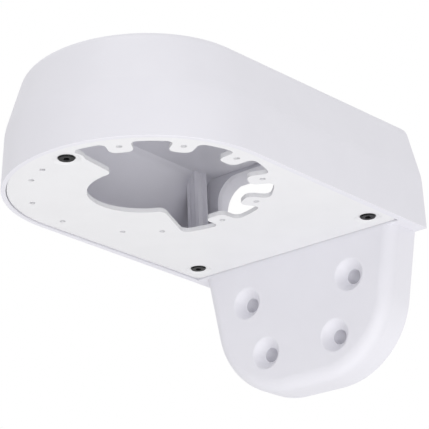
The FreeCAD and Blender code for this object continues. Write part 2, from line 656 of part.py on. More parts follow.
def build_plate():
    """Flat camera plate with its opening, six lugs, twelve camera holes and three screw recesses."""
    body = new_body("camera_plate")
    outline = new_sketch(body, "PlateOutline", "XY_Plane", height="Sizes.plate_recess")
    draw_nose_profile(outline, "Sizes.plate_nose_radius", "Sizes.plate_half_width", PLATE_BACK)
    add_pad(body, "Plate", outline, "Sizes.plate_thickness")
    rear, low = -value(PLATE_BACK), value("Sizes.plate_recess")
    round_edges(
        body, "PlateCorners", "Sizes.plate_corner",
        lambda edge: lies_at(edge, "y", rear) and edge.BoundBox.XLength < 1e-3,
    )
    bevel_edges(body, "PlateEdge", "Sizes.plate_bevel", lambda edge: lies_at(edge, "z", low))

    opening = new_sketch(body, "OpeningOutline", "XY_Plane", along="-Sizes.camera_axis", height=PLATE_TOP)
    draw_opening(opening)
    cut_pocket(body, "Opening", opening)

    # One lug reaches in from the opening's outer edge, and the pattern turns it about the camera axis
    lug = new_sketch(
        body, "LugOutline", "XY_Plane", along="-Sizes.camera_axis", height="Sizes.plate_recess",
        turn="Sizes.lug_first_angle")
    root = "(Sizes.opening_outer_radius + Sizes.plate_thickness)"
    side = "Sizes.lug_half_width"
    draw_rectangle(lug, "lug", ("Sizes.lug_tip_radius", "-" + side), (root, side))
    pad = add_pad(body, "Lug", lug, "Sizes.plate_thickness")
    pattern = body.newObject("PartDesign::PolarPattern", "Lugs")
    pattern.Originals = [pad]
    pattern.Axis = (lug, ["N_Axis"])
    pattern.Angle = value("Sizes.lug_pitch") * (LUG_COUNT - 1)
    pattern.setExpression("Angle", f"Sizes.lug_pitch * {LUG_COUNT - 1}")
    pattern.Occurrences = LUG_COUNT
    body.Tip = pattern
    doc.recompute()

    # Upright corners of the opening and of the lugs
    axis = -value("Sizes.camera_axis")
    tip, width = value("Sizes.lug_tip_radius"), value("Sizes.lug_half_width")
    lug_corner = math.hypot(tip, width)
    outer, inner = value("Sizes.opening_outer_radius"), value("Sizes.opening_inner_radius")
    ends = [math.radians(value("Sizes.opening_" + side)) for side in ("start", "end")]

    def upright_at(edge, radius):
        box = edge.BoundBox
        reach = math.hypot(box.Center.x, box.Center.y - axis)
        upright = lies_at(edge, "x", box.Center.x) and lies_at(edge, "y", box.Center.y)
        return upright and abs(reach - radius) < 1e-3

    def at_end(edge):
        box = edge.BoundBox
        turn = math.atan2(box.Center.y - axis, box.Center.x)
        return any(abs(math.remainder(turn - end, 2 * math.pi)) < 1e-3 for end in ends)

    round_edges(
        body, "OpeningCorners", "Sizes.opening_corner",
        lambda edge: (upright_at(edge, outer) or upright_at(edge, inner)) and at_end(edge),
    )
    round_edges(body, "LugCorners", "Sizes.lug_corner", lambda edge: upright_at(edge, lug_corner))
    round_edges(body, "LugRoots", "Sizes.lug_root_rounding", lambda edge: upright_at(edge, outer))

    # Ear that keeps metal round the nose screw, where the opening comes close to it
    ear = new_sketch(body, "EarOutline", "XY_Plane", height="Sizes.plate_recess")
    draw_circle(ear, "ear", "0", "-Sizes.front_screw", "Sizes.screw_ear_diameter")
    add_pad(body, "Ear", ear, "Sizes.plate_thickness")

    # Shallow recess and clearance hole for each plate screw
    recess = new_sketch(body, "RecessOutline", "XY_Plane", height="Sizes.plate_recess")
    clear = new_sketch(body, "ClearanceOutline", "XY_Plane", height="Sizes.plate_recess")
    for number, (x, y) in enumerate(screw_places(), 1):
        draw_circle(recess, f"recess{number}", x, y, "Sizes.screw_recess_diameter")
        draw_circle(clear, f"clearance{number}", x, y, "Sizes.screw_clearance")
    cut_pocket(body, "ScrewRecesses", recess, "Sizes.screw_recess_depth", reverse=True)
    cut_pocket(body, "ScrewClearances", clear, reverse=True)

    # Camera holes: one in each lug, and six in the solid part
    holes = new_sketch(
        body, "CameraHoleOutline", "XY_Plane", along="-Sizes.camera_axis", height="Sizes.plate_recess")
    angles = [f"Sizes.lug_first_angle + {i} * Sizes.lug_pitch" for i in range(LUG_COUNT)]
    angles += [str(angle) for angle in PLAIN_HOLE_ANGLES]
    for number, angle in enumerate(angles, 1):
        x, y = (f"Sizes.camera_hole_radius * {part}({angle})" for part in ("cos", "sin"))
        draw_circle(holes, f"camera{number}", x, y, "Sizes.camera_hole_diameter")
    cut_pocket(body, "CameraHoles", holes, reverse=True)
    return body


def draw_screw_profile(sketch):
    """Half section of the screw: domed head below the seat, shank and bevelled tip above it.

    The dome is drawn with two chords of its circle, which lie within 0.1 mm of it.
    """
    head, crown, shank = [value(f"Sizes.screw_{part}_diameter") / 2 for part in ("head", "crown", "shank")]
    height, lip = value("Sizes.screw_head_height"), value("Sizes.screw_lip_height")
    length, tip = value("Sizes.screw_length"), value("Sizes.screw_tip_bevel")
    # The dome's centre is on the axis, where the lip and the crown are equally far away
    centre = (head**2 - crown**2 + lip**2 - height**2) / (2 * (height - lip))
    dome = math.hypot(head, centre + lip)
    turns = [math.atan2(-place - centre, radius) for place, radius in ((height, crown), (lip, head))]
    middle = sum(turns) / 2
    points = [
        (head, -lip), (head, 0), (shank, 0), (shank, length - tip), (shank - tip, length), (0, length),
        (0, -height), (crown, -height), (dome * math.cos(middle), centre + dome * math.sin(middle)),
    ]
    lines = [draw_line(sketch, first, second) for first, second in zip(points, points[1:] + points[:1])]
    for first, second in zip(lines, lines[1:] + lines[:1]):
        relate(sketch, "Coincident", first, 2, second, 1)
    circle = sketch.addGeometry(
        Part.Circle(FreeCAD.Vector(0, centre, 0), FreeCAD.Vector(0, 0, 1), dome), True)
    relate(sketch, "PointOnObject", circle, 3, -2)
    for line in (7, 8, 0):
        relate(sketch, "PointOnObject", lines[line], 1, circle)
    relate(sketch, "Equal", lines[7], lines[8])
    for line in (0, 2, 5):
        relate(sketch, "Vertical", lines[line])
    for line in (1, 4, 6):
        relate(sketch, "Horizontal", lines[line])
    relate(sketch, "PointOnObject", lines[1], 1, -1)
    relate(sketch, "PointOnObject", lines[5], 1, -2)
    for name, line, size in (("head", 0, "head_diameter / 2"), ("shank", 2, "shank_diameter / 2"),
                             ("crown", 7, "crown_diameter / 2")):
        constrain(sketch, name, "DistanceX", -1, 1, lines[line], 1, size="Sizes.screw_" + size)
    constrain(sketch, "lip", "DistanceY", lines[0], 1, -1, 1, size="Sizes.screw_lip_height")
    constrain(sketch, "height", "DistanceY", lines[5], 2, -1, 1, size="Sizes.screw_head_height")
    constrain(sketch, "length", "DistanceY", -1, 1, lines[5], 1, size="Sizes.screw_length")
    constrain(sketch, "bevel_x", "DistanceX", lines[3], 2, lines[3], 1, size="Sizes.screw_tip_bevel")
    constrain(sketch, "bevel_y", "DistanceY", lines[3], 1, lines[3], 2, size="Sizes.screw_tip_bevel")


def draw_hexagon(sketch, across_flats):
    """Hexagon about the sketch origin, sized by the distance between opposite flats."""
    radius = value(across_flats) / math.sqrt(3)
    corners = [(radius * math.cos(i * math.pi / 3), radius * math.sin(i * math.pi / 3)) for i in range(6)]
    edges = [draw_line(sketch, corners[i], corners[(i + 1) % 6]) for i in range(6)]
    circle = sketch.addGeometry(Part.Circle(FreeCAD.Vector(), FreeCAD.Vector(0, 0, 1), radius), True)
    relate(sketch, "Coincident", circle, 3, -1, 1)
    constrain(sketch, "corners", "Radius", circle, size=f"{across_flats} / sqrt(3)")
    for i in range(6):
        relate(sketch, "Coincident", edges[i], 2, edges[(i + 1) % 6], 1)
        relate(sketch, "PointOnObject", edges[i], 1, circle)
        if i:
            relate(sketch, "Equal", edges[0], edges[i])
    relate(sketch, "PointOnObject", edges[0], 1, -1)


def build_screw(label, x, y):
    """Low-head screw that hangs from its seat in the plate and reaches up into its boss."""
    body = new_body(label)
    profile = new_sketch(body, label + "_Profile", "XZ_Plane")
    draw_screw_profile(profile)
    turned = body.newObject("PartDesign::Revolution", label + "_Turned")
    turned.Profile = profile
    turned.ReferenceAxis = (profile, ["V_Axis"])
    turned.Angle = 360
    doc.recompute()
    hexagon = new_sketch(body, label + "_Hexagon", "XY_Plane", height="-Sizes.screw_head_height")
    draw_hexagon(hexagon, "Sizes.screw_socket")
    cut_pocket(body, label + "_Socket", hexagon, "Sizes.screw_socket_depth", reverse=True)
    for letter, expression in (("x", x), ("y", y), ("z", SEAT_HEIGHT)):
        body.setExpression("Placement.Base." + letter, expression)
    return body


def main():
    """Builds every sub-part, checks it and writes its file."""
    core = build_chamber_core()
    parts = [build_housing(core), build_plate()]
    labels = ("plate_screw_front", "plate_screw_rear_left", "plate_screw_rear_right")
    parts += [build_screw(label, *place) for label, place in zip(labels, screw_places())]
    doc.recompute()
    for item in doc.Objects:
        if {"Invalid", "Error"} & set(item.State):
            raise RuntimeError(f"{item.Name} failed: {item.State}")
    for part in parts:
        if part.Shape.isNull() or not part.Shape.isValid() or len(part.Shape.Solids) != 1:
            raise RuntimeError(f"{part.Label} is not one valid solid")
    os.makedirs("parts", exist_ok=True)
    for part in parts:
        part.Shape.exportStep(f"parts/{part.Label}.step")
        print(part.Label, round(part.Shape.Volume), part.Shape.BoundBox)


main()
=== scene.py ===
import logging
import math
from dataclasses import dataclass, field
from enum import Enum
from typing import Callable, Iterable, Optional, Sequence, Union

import bmesh
import bpy
from mathutils import Matrix, Vector

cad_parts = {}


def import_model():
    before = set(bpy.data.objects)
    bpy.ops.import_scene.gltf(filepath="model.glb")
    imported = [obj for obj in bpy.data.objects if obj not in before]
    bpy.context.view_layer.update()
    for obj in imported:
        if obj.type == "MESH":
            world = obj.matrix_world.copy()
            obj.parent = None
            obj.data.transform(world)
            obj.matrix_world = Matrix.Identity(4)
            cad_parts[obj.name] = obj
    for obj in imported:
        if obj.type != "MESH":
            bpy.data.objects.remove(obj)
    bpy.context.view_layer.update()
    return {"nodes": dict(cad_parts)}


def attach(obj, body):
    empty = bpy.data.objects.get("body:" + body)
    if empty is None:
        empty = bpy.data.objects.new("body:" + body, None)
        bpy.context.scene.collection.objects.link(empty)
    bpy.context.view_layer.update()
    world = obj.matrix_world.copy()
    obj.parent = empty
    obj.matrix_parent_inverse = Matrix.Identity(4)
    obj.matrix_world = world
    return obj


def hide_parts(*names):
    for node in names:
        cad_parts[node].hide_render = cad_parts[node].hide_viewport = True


LOG = logging.getLogger("wall_bracket")
MM = 0.001
# Points that lie closer together than this, in millimetres, are merged.
CLOSE = 0.0005
# Faces that meet at less than this angle, in degrees, are shaded as one surface.
SMOOTH_ANGLE = 32.0
# Edges sharper than this angle, in degrees, get a small bevel.
BEVEL_ANGLE = 40.0
# Steps round the half circle of the nose.
NOSE_STEPS = 72
# How far forms run past the faces that they cut or join, in millimetres.
SPARE = 1.0
# Reach of the blocks that pass the hood at both sides, above and below, in millimetres.
FAR = 90.0
Number = Union[int, float]
Spot = tuple[float, float]
Point = tuple[float, float, float]


class Slot(Enum):
    """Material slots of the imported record."""

    CASTING = "casting_paint"
    PLATE = "plate_paint"
    SCREW = "black_steel"


class Side(Enum):
    """Directions from the bracket in which a lamp stands."""

    BELOW = (0.0, -0.25, -1.0)
    VIEWER = (0.56, -0.74, -0.5)
    RIGHT_BELOW = (0.75, -0.3, -0.8)
    LEFT = (-1.0, -0.5, 0.25)
    ABOVE = (0.1, -0.3, 1.0)
    BEHIND = (0.15, 1.0, -0.1)


class Signal:
    """Wraps one output socket so that shader maths reads as ordinary Python."""

    def __init__(self, shader: "Shader", socket: bpy.types.NodeSocket) -> None:
        """Keeps the output socket and the shader that it belongs to."""
        self.shader = shader
        self.socket = socket

    def _maths(self, operation: str, *values: Union["Signal", Number]) -> "Signal":
        """Output of a new Math node with its inputs in order."""
        inputs = dict(enumerate(values))
        return self.shader.add("ShaderNodeMath", {"operation": operation}, inputs)

    def __add__(self, other: Union["Signal", Number]) -> "Signal":
        """Sum."""
        return self._maths("ADD", self, other)

    __radd__ = __add__

    def __sub__(self, other: Union["Signal", Number]) -> "Signal":
        """Difference."""
        return self._maths("SUBTRACT", self, other)

    def __rsub__(self, other: Number) -> "Signal":
        """Difference with the number first."""
        return self._maths("SUBTRACT", other, self)

    def __mul__(self, other: Union["Signal", Number]) -> "Signal":
        """Product."""
        return self._maths("MULTIPLY", self, other)

    __rmul__ = __mul__

    def clamp(self) -> "Signal":
        """Value held between 0 and 1."""
        held = self._maths("ADD", self, 0.0)
        held.socket.node.use_clamp = True
        return held

    def over(self, low: float, high: float) -> "Signal":
        """Smooth step from 0 at the low value to 1 at the high one.

        Args:
            low: Value at which the step begins.
            high: Value at which it ends.

        Returns:
            The step.
        """
        settings = {"interpolation_type": "SMOOTHSTEP"}
        inputs = {"Value": self, "From Min": low, "From Max": high}
        return self.shader.add("ShaderNodeMapRange", settings, inputs, "Result")


class Shader:
    """One material's node tree, built from Principled BSDF outwards."""

    def __init__(self, name: str) -> None:
        """Makes a material with a Principled shader and an Object coordinate source.

        Args:
            name: Name of the material.
        """
        self.material = bpy.data.materials.new(name)
        self.material.use_nodes = True
        self.tree = self.material.node_tree
        self.principled = self.tree.nodes["Principled BSDF"]
        coordinates = self.tree.nodes.new("ShaderNodeTexCoord")
        self.place = Signal(self, coordinates.outputs["Object"])

    def add(self, kind: str, settings: dict, inputs: dict, output: Union[int, str] = 0) -> Signal:
        """Adds any node.

        Args:
            kind: Node type.
            settings: Properties that are set on the node first.
            inputs: Values or signals by input name or number.
            output: Name or number of the output wanted.

        Returns:
            The wanted output.
        """
        node = self.tree.nodes.new(kind)
        for key, setting in settings.items():
            setattr(node, key, setting)
        for key, entry in inputs.items():
            if isinstance(entry, Signal):
                self.tree.links.new(entry.socket, node.inputs[key])
            else:
                node.inputs[key].default_value = entry
        return Signal(self, node.outputs[output])

    def noise(self, scale: float, detail: float, roughness: float = 0.5) -> Signal:
        """Noise between 0 and 1, with its scale in spots per metre and its detail in octaves."""
        inputs = {"Vector": self.place, "Scale": scale, "Detail": detail, "Roughness": roughness}
        return self.add("ShaderNodeTexNoise", {}, inputs, "Fac")

    def blend(self, share: Signal, first: Sequence[float], second: Sequence[float]) -> Signal:
        """Mix of two linear colours, where a share of 0 gives the first and 1 the second."""
        inputs = {0: share, 6: (*first, 1.0), 7: (*second, 1.0)}
        return self.add("ShaderNodeMix", {"data_type": "RGBA"}, inputs, 2)

    def bump(self, height: Signal, distance: float, strength: float,
             under: Optional[Signal] = None) -> Signal:
        """Bump from a height.

        Args:
            height: Height signal between 0 and 1.
            distance: Depth of the relief in metres.
            strength: Strength of the effect.
            under: Normal that the bump lies on.

        Returns:
            The bumped normal.
        """
        inputs = {"Height": height, "Distance": distance, "Strength": strength}
        if under:
            inputs["Normal"] = under
        return self.add("ShaderNodeBump", {}, inputs, "Normal")

    def feed(self, **sockets: Union[Signal, Number, Sequence[float]]) -> None:
        """Links or sets the Principled shader's inputs, with spaces written as underscores."""
        for name, entry in sockets.items():
            target = self.principled.inputs[name.replace("_", " ")]
            if isinstance(entry, Signal):
                self.tree.links.new(entry.socket, target)
            else:
                target.default_value = entry


@dataclass(frozen=True)
class PowderCoat:
    """Fine matte powder coat: even colour, slight mottle and a soft orange-peel skin."""

    name: str
    colour: Point
    shade: Point
    roughness: float = 0.46
    mottle_scale: float = 38.0
    mottle_band: Spot = (0.3, 0.75)
    mottle_share: float = 0.55
    mottle_gloss: float = 0.06
    speck_scale: float = 5200.0
    speck_band: Spot = (0.62, 0.75)
    speck_share: float = 0.25
    wave_scale: float = 90.0
    wave_depth: float = 0.00012
    wave_strength: float = 0.35
    peel_scale: float = 900.0
    peel_share: float = 0.7
    peel_gloss: float = 0.12
    grain_scale: float = 3780.0
    grain_share: float = 0.3
    skin_depth: float = 0.00003
    skin_strength: float = 0.7
    specular: float = 0.42

    def make(self) -> bpy.types.Material:
        """Builds the material.

        Returns:
            The finished material.
        """
        shader = Shader(self.name)
        mottle = shader.noise(self.mottle_scale, detail=3.0)
        speck = shader.noise(self.speck_scale, detail=1.0)
        peel = shader.noise(self.peel_scale, detail=3.0, roughness=0.55)
        grain = shader.noise(self.grain_scale, detail=2.0)
        clouds = mottle.over(*self.mottle_band) * self.mottle_share
        tone = (clouds + speck.over(*self.speck_band) * self.speck_share).clamp()
        waves = shader.noise(self.wave_scale, detail=1.0)
        wave = shader.bump(waves, self.wave_depth, self.wave_strength)
        relief = peel * self.peel_share + grain * self.grain_share
        gloss = self.roughness + (peel - 0.5) * self.peel_gloss + (mottle - 0.5) * self.mottle_gloss
        shader.feed(
            Base_Color=shader.blend(tone, self.colour, self.shade),
            Roughness=gloss.clamp(),
            Normal=shader.bump(relief, self.skin_depth, self.skin_strength, wave),
            Specular_IOR_Level=self.specular,
        )
        return shader.material


@dataclass(frozen=True)
class BlackOxide:
    """Blackened steel: near black, slightly glossy, with worn, paler spots."""

    name: str
    colour: Point = (0.005, 0.005, 0.0055)
    worn: Point = (0.014, 0.0137, 0.0135)
    roughness: float = 0.34
    cloud_scale: float = 600.0
    cloud_gloss: float = 0.3
    wear_band: Spot = (0.52, 0.8)
    wear_share: float = 0.6
    pit_scale: float = 7000.0
    pit_depth: float = 0.00001
    pit_strength: float = 0.5
    specular: float = 0.14

    def make(self) -> bpy.types.Material:
        """Builds the material.

        Returns:
            The finished material.
        """
        shader = Shader(self.name)
        cloud = shader.noise(self.cloud_scale, detail=4.0, roughness=0.6)
        pits = shader.noise(self.pit_scale, detail=2.0)
        wear = cloud.over(*self.wear_band) * self.wear_share
        shader.feed(
            Base_Color=shader.blend(wear, self.colour, self.worn),
            Roughness=(self.roughness + (cloud - 0.5) * self.cloud_gloss).clamp(),
            Normal=shader.bump(pits, self.pit_depth, self.pit_strength),
            Metallic=0.0,
            Specular_IOR_Level=self.specular,
        )
        return shader.material


@dataclass
class Studio:
    """Camera at the photograph's view, soft lamps, a pale floor and pale surroundings."""

    target: Point = (0.001968, -0.100512, 0.002141)
    azimuth: float = 38.46
    elevation: float = -20.84
    roll: float = -2.32
    distance: float = 1.030598
    focal_px: float = 1826.26
    frame_px: int = 429
    sensor: float = 36.0
    clip_start: float = 0.05
    floor_height: float = -1.5
    floor_half: float = 3.0
    floor_shade: float = 0.9
    floor_roughness: float = 0.8
    world_colour: Point = (1.0, 0.995, 1.0)
    world_strength: float = 0.74
    lamp_size: float = 0.6
    lamp_distance: float = 1.1
    lamps: dict[Side, float] = field(default_factory=lambda: {
        Side.BELOW: 1.6,
        Side.VIEWER: 2.35,
        Side.RIGHT_BELOW: 2.0,
        Side.LEFT: 0.3,
        Side.ABOVE: 2.2,
        Side.BEHIND: 2.3,
    })

    def build(self) -> None:
        """Places everything that isn't part of the object."""
        self._camera()
        self._world()
        self._floor()
        for side, power in self.lamps.items():
            self._lamp(side, power)

    def _camera(self) -> None:
        """Camera turned about the target as in the photograph."""
        turn, tilt, roll = (math.radians(angle) for angle in (self.azimuth, self.elevation, self.roll))
        back = Vector((math.sin(turn) * math.cos(tilt), -math.cos(turn) * math.cos(tilt), math.sin(tilt)))
        right = Vector((math.cos(turn), math.sin(turn), 0.0))
        up = back.cross(right)
        right, up = right * math.cos(roll) + up * math.sin(roll), up * math.cos(roll) - right * math.sin(roll)
        lens = bpy.data.cameras.new("photo_view")
        lens.sensor_width = self.sensor
        lens.lens = self.focal_px / self.frame_px * self.sensor
        lens.clip_start = self.clip_start
        camera = bpy.data.objects.new("photo_view", lens)
        turned = Matrix((right, up, back)).transposed().to_4x4()
        camera.matrix_world = Matrix.Translation(Vector(self.target) + back * self.distance) @ turned
        bpy.context.scene.collection.objects.link(camera)
        bpy.context.scene.camera = camera

    def _world(self) -> None:
        """Even pale surroundings, which the camera and reflections see as plain white."""
        world = bpy.data.worlds.new("pale_surroundings")
        bpy.context.scene.world = world
        world.use_nodes = True
        tree = world.node_tree
        rays = tree.nodes.new("ShaderNodeLightPath")
        seen = rays.outputs["Is Camera Ray"]
        for kind in ("Is Transmission Ray", "Is Glossy Ray"):
            either = tree.nodes.new("ShaderNodeMath")
            either.operation = "MAXIMUM"
            tree.links.new(seen, either.inputs[0])
            tree.links.new(rays.outputs[kind], either.inputs[1])
            seen = either.outputs[0]
        mix = tree.nodes.new("ShaderNodeMixShader")
        tree.links.new(seen, mix.inputs[0])
        pale, white = tree.nodes["Background"], tree.nodes.new("ShaderNodeBackground")
        colours = ((pale, self.world_colour, self.world_strength), (white, (1.0, 1.0, 1.0), 1.0))
        for number, (background, colour, strength) in enumerate(colours, 1):
            background.inputs["Color"].default_value = (*colour, 1.0)
            background.inputs["Strength"].default_value = strength
            tree.links.new(background.outputs[0], mix.inputs[number])
        tree.links.new(mix.outputs[0], tree.nodes["World Output"].inputs["Surface"])

    def _floor(self) -> None:
        """Pale floor well below the bracket, which hangs on a wall."""
        shape = bmesh.new()
        bmesh.ops.create_grid(shape, x_segments=1, y_segments=1, size=self.floor_half)
        bmesh.ops.translate(shape, verts=shape.verts, vec=(0.0, 0.0, self.floor_height))
        mesh = bpy.data.meshes.new("studio_floor")
        shape.to_mesh(mesh)
        shape.free()
        shader = Shader("studio_floor")
        shader.feed(Base_Color=(*[self.floor_shade] * 3, 1.0), Roughness=self.floor_roughness)
        mesh.materials.append(shader.material)
        floor = bpy.data.objects.new("studio_floor", mesh)
        bpy.context.scene.collection.objects.link(floor)

    def _lamp(self, side: Side, power: float) -> None:
        """Large soft lamp on one side of the bracket.

        Args:
            side: Direction in which it stands.
            power: Power in watts.
        """
        lamp = bpy.data.lights.new(f"lamp_{side.name.lower()}", "AREA")
        lamp.shape = "DISK"
        lamp.size = self.lamp_size
        lamp.energy = power
        stand = bpy.data.objects.new(lamp.name, lamp)
        away = Vector(side.value).normalized()
        stand.location = Vector(self.target) + away * self.lamp_distance
        stand.rotation_euler = away.to_track_quat("Z", "Y").to_euler()
        bpy.context.scene.collection.objects.link(stand)


class Joining(Enum):
    """How one form is joined to another."""

    ADD = "UNION"
    CUT = "DIFFERENCE"


@dataclass(frozen=True)
class Corner:
    """Corner of a flat outline, in millimetres, with its rounding."""

    x: float
    y: float
    radius: float = 0.0


def mirrored(left: Sequence[Corner]) -> list[Corner]:
    """Corners of an outline's left half, then their images on the right in reverse order."""
    return [*left, *(Corner(-corner.x, corner.y, corner.radius) for corner in reversed(left))]


def rounded(corners: Sequence[Corner], steps: int = 8, closed: bool = False) -> list[Spot]:
    """Outline with its corners rounded.

    Args:
        corners: Corners in order.
        steps: Runs in each rounding.
        closed: True where the last corner joins the first.

    Returns:
        Points of the outline in order.
    """
    points = []
    count = len(corners)
    for number, corner in enumerate(corners):
        place = Vector((corner.x, corner.y))
        ends = not closed and number in (0, count - 1)
        if ends or not corner.radius:
            points.append(tuple(place))
            continue
        before, after = corners[number - 1], corners[(number + 1) % count]
        back = (Vector((before.x, before.y)) - place).normalized()
        onward = (Vector((after.x, after.y)) - place).normalized()
        half = back.angle(onward) / 2
        middle = place + (back + onward).normalized() * corner.radius / math.sin(half)
        first = place + back * corner.radius / math.tan(half) - middle
        last = place + onward * corner.radius / math.tan(half) - middle
        turn = last.angle_signed(first)
        for step in range(steps + 1):
            points.append(tuple(middle + Matrix.Rotation(turn * step / steps, 2) @ first))
    return points


def circle(middle: Spot, radius: float, count: int) -> list[Spot]:
    """Regular outline round a point, with its first corner towards +X."""
    turns = (2 * math.pi * step / count for step in range(count))
    return [(middle[0] + radius * math.cos(turn), middle[1] + radius * math.sin(turn)) for turn in turns]


def standing(centre: Point, upright: bool) -> Matrix:
    """Matrix that moves a form's origin to a point and, unless upright, turns its axis from Z to Y."""
    turn = Matrix.Identity(4) if upright else Matrix.Rotation(-math.pi / 2, 4, "X")
    return Matrix.Translation(centre) @ turn


def discard(spent: bpy.types.Object) -> None:
    """Removes an object and its mesh."""
    mesh = spent.data
    bpy.data.objects.remove(spent)
    bpy.data.meshes.remove(mesh)


class Form:
    """Closed mesh, in millimetres, that bmesh operators shape."""

    def __init__(self) -> None:
        """Starts with an empty mesh."""
        self.mesh = bmesh.new()

    def ring(self, points: Iterable[Point]) -> list[bmesh.types.BMEdge]:
        """Edges of a new closed wire through points in order."""
        corners = [self.mesh.verts.new(point) for point in points]
        return [self.mesh.edges.new(pair) for pair in zip(corners, corners[1:] + corners[:1])]

    def skin(self, rings: Sequence[list[bmesh.types.BMEdge]]) -> "Form":
        """Walls from each wire to the next, closed at both ends.

        Args:
            rings: Wires with equal numbers of corners, from one end to the other.

        Returns:
            This form.
        """
        for first, second in zip(rings, rings[1:]):
            bmesh.ops.bridge_loops(self.mesh, edges=first + second)
        bmesh.ops.holes_fill(self.mesh, edges=rings[0] + rings[-1], sides=0)
        bmesh.ops.recalc_face_normals(self.mesh, faces=self.mesh.faces)
        return self

    def prism(self, outline: Sequence[Spot], low: float, high: float, upright: bool = True) -> "Form":
        """Straight prism over a flat outline.

        Args:
            outline: Its corners; X and Y if upright, otherwise X and Z.
            low: Lower end along the remaining axis.
            high: Upper end along that axis.
            upright: True for a prism along Z, False for one along Y.

        Returns:
            This form.
        """
        rings = []
        for level in (low, high):
            rings.append(self.ring((a, b, level) if upright else (a, level, b) for a, b in outline))
        return self.skin(rings)

    def rod(self, centre: Point, radius: float, length: float, upright: bool = True,
            sides: int = 64) -> "Form":
        """Round bar that starts at its centre and runs along +Z, or along +Y.

        Args:
            centre: Middle of its first end.
            radius: Its radius.
            length: Its length.
            upright: True for a bar along Z, False for one along Y.
            sides: Flats round it.

        Returns:
            This form.
        """
        shift = standing(centre, upright) @ Matrix.Translation((0.0, 0.0, length / 2))
        bmesh.ops.create_cone(
            self.mesh, cap_ends=True, segments=sides, radius1=radius, radius2=radius, depth=length,
            matrix=shift)
        return self

    def turned(self, profile: Sequence[Spot], centre: Point, sides: int, upright: bool = True) -> "Form":
        """Turned solid with its axis along Z, or along Y.

        Args:
            profile: Radius and height of each point; the first and last lie on the axis.
            centre: Origin of the profile.
            sides: Flats round it.
            upright: True for an axis along Z, False for one along Y.

        Returns:
            This form.
        """
        corners = [self.mesh.verts.new((radius, 0.0, height)) for radius, height in profile]
        wire = [self.mesh.edges.new(pair) for pair in zip(corners, corners[1:])]
        bmesh.ops.spin(
            self.mesh, geom=corners + wire, cent=(0.0, 0.0, 0.0), axis=(0.0, 0.0, 1.0),
            angle=2 * math.pi, steps=sides, use_merge=True)
        bmesh.ops.remove_doubles(self.mesh, verts=self.mesh.verts, dist=CLOSE)
        bmesh.ops.recalc_face_normals(self.mesh, faces=self.mesh.faces)
        bmesh.ops.transform(self.mesh, matrix=standing(centre, upright), verts=self.mesh.verts)
        return self

    def block(self, low: Point, high: Point) -> "Form":
        """Block between two opposite corners.

        Args:
            low: Lowest corner.
            high: Highest corner.

        Returns:
            This form.
        """
        middle = [(a + b) / 2 for a, b in zip(low, high)]
        spread = Matrix.Diagonal([b - a for a, b in zip(low, high)]).to_4x4()
        bmesh.ops.create_cube(self.mesh, size=1.0, matrix=Matrix.Translation(middle) @ spread)
        return self

    def place(self, name: str) -> bpy.types.Object:
        """Turns the form into an object, still in millimetres, and gives up the bmesh."""
        mesh = bpy.data.meshes.new(name)
        bmesh.ops.recalc_face_normals(self.mesh, faces=self.mesh.faces)
        self.mesh.to_mesh(mesh)
        self.mesh.free()
        made = bpy.data.objects.new(name, mesh)
        bpy.context.scene.collection.objects.link(made)
        return made


class Workpiece:
    """Object that further forms are added to or cut from, and that is then finished."""

    def __init__(self, name: str, form: Form) -> None:
        """Starts a named piece from its first form."""
        self.body = form.place(name)

    def join(self, way: Joining, *forms: Form) -> None:
        """Adds or cuts forms one after the other.

        Args:
            way: Whether they are added or cut.
            forms: The other forms, which are used up.
        """
        for form in forms:
            tool = form.place("tool")
            step = self.body.modifiers.new("step", "BOOLEAN")
            step.operation = way.value
            step.solver = "EXACT"
            step.object = tool
            self._settle()
            self._clean()
            discard(tool)

    def _clean(self) -> None:
        """Merges points that coincide and drops edges without length."""
        shape = bmesh.new()
        shape.from_mesh(self.body.data)
        bmesh.ops.remove_doubles(shape, verts=shape.verts, dist=CLOSE)
        bmesh.ops.dissolve_degenerate(shape, edges=shape.edges, dist=CLOSE)
        shape.to_mesh(self.body.data)
        shape.free()

    def _settle(self) -> None:
        """Makes what the modifiers show the object's own mesh."""
        ready = self.body.evaluated_get(bpy.context.evaluated_depsgraph_get())
        mesh = bpy.data.meshes.new_from_object(ready)
        spent = self.body.data
        self.body.modifiers.clear()
        self.body.data = mesh
        bpy.data.meshes.remove(spent)

    def release(self) -> Form:
        """Turns the workpiece back into a form.

        Returns:
            Its mesh as a form; the object is used up.
        """
        form = Form()
        form.mesh.from_mesh(self.body.data)
        discard(self.body)
        return form

    def finish(self, material: bpy.types.Material, nodes: Sequence[str],
               edge: float) -> bpy.types.Object:
        """Scales the piece to metres, softens its edges and hands it over.

        Args:
            material: Its finish.
            nodes: CAD nodes that it stands for.
            edge: Width of the bevel on its sharp edges in millimetres.

        Returns:
            The finished object.
        """
        self._clean()
        self.body.data.transform(Matrix.Scale(MM, 4))
        self.body.data.shade_smooth()
        bevel = self.body.modifiers.new("soft_edges", "BEVEL")
        bevel.width = edge * MM
        bevel.segments = 2
        bevel.limit_method = "ANGLE"
        bevel.angle_limit = math.radians(BEVEL_ANGLE)
        bevel.harden_normals = False
        self._settle()
        self.body.data.set_sharp_from_angle(angle=math.radians(SMOOTH_ANGLE))
        weigh = self.body.modifiers.new("even_shading", "WEIGHTED_NORMAL")
        weigh.keep_sharp = True
        weigh.weight = 80
        self.body.data.materials.clear()
        self.body.data.materials.append(material)
        for face in self.body.data.polygons:
            face.material_index = 0
        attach(self.body, "root")
        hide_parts(*nodes)
        LOG.info("%s has %d faces", self.body.name, len(self.body.data.polygons))
        return self.body


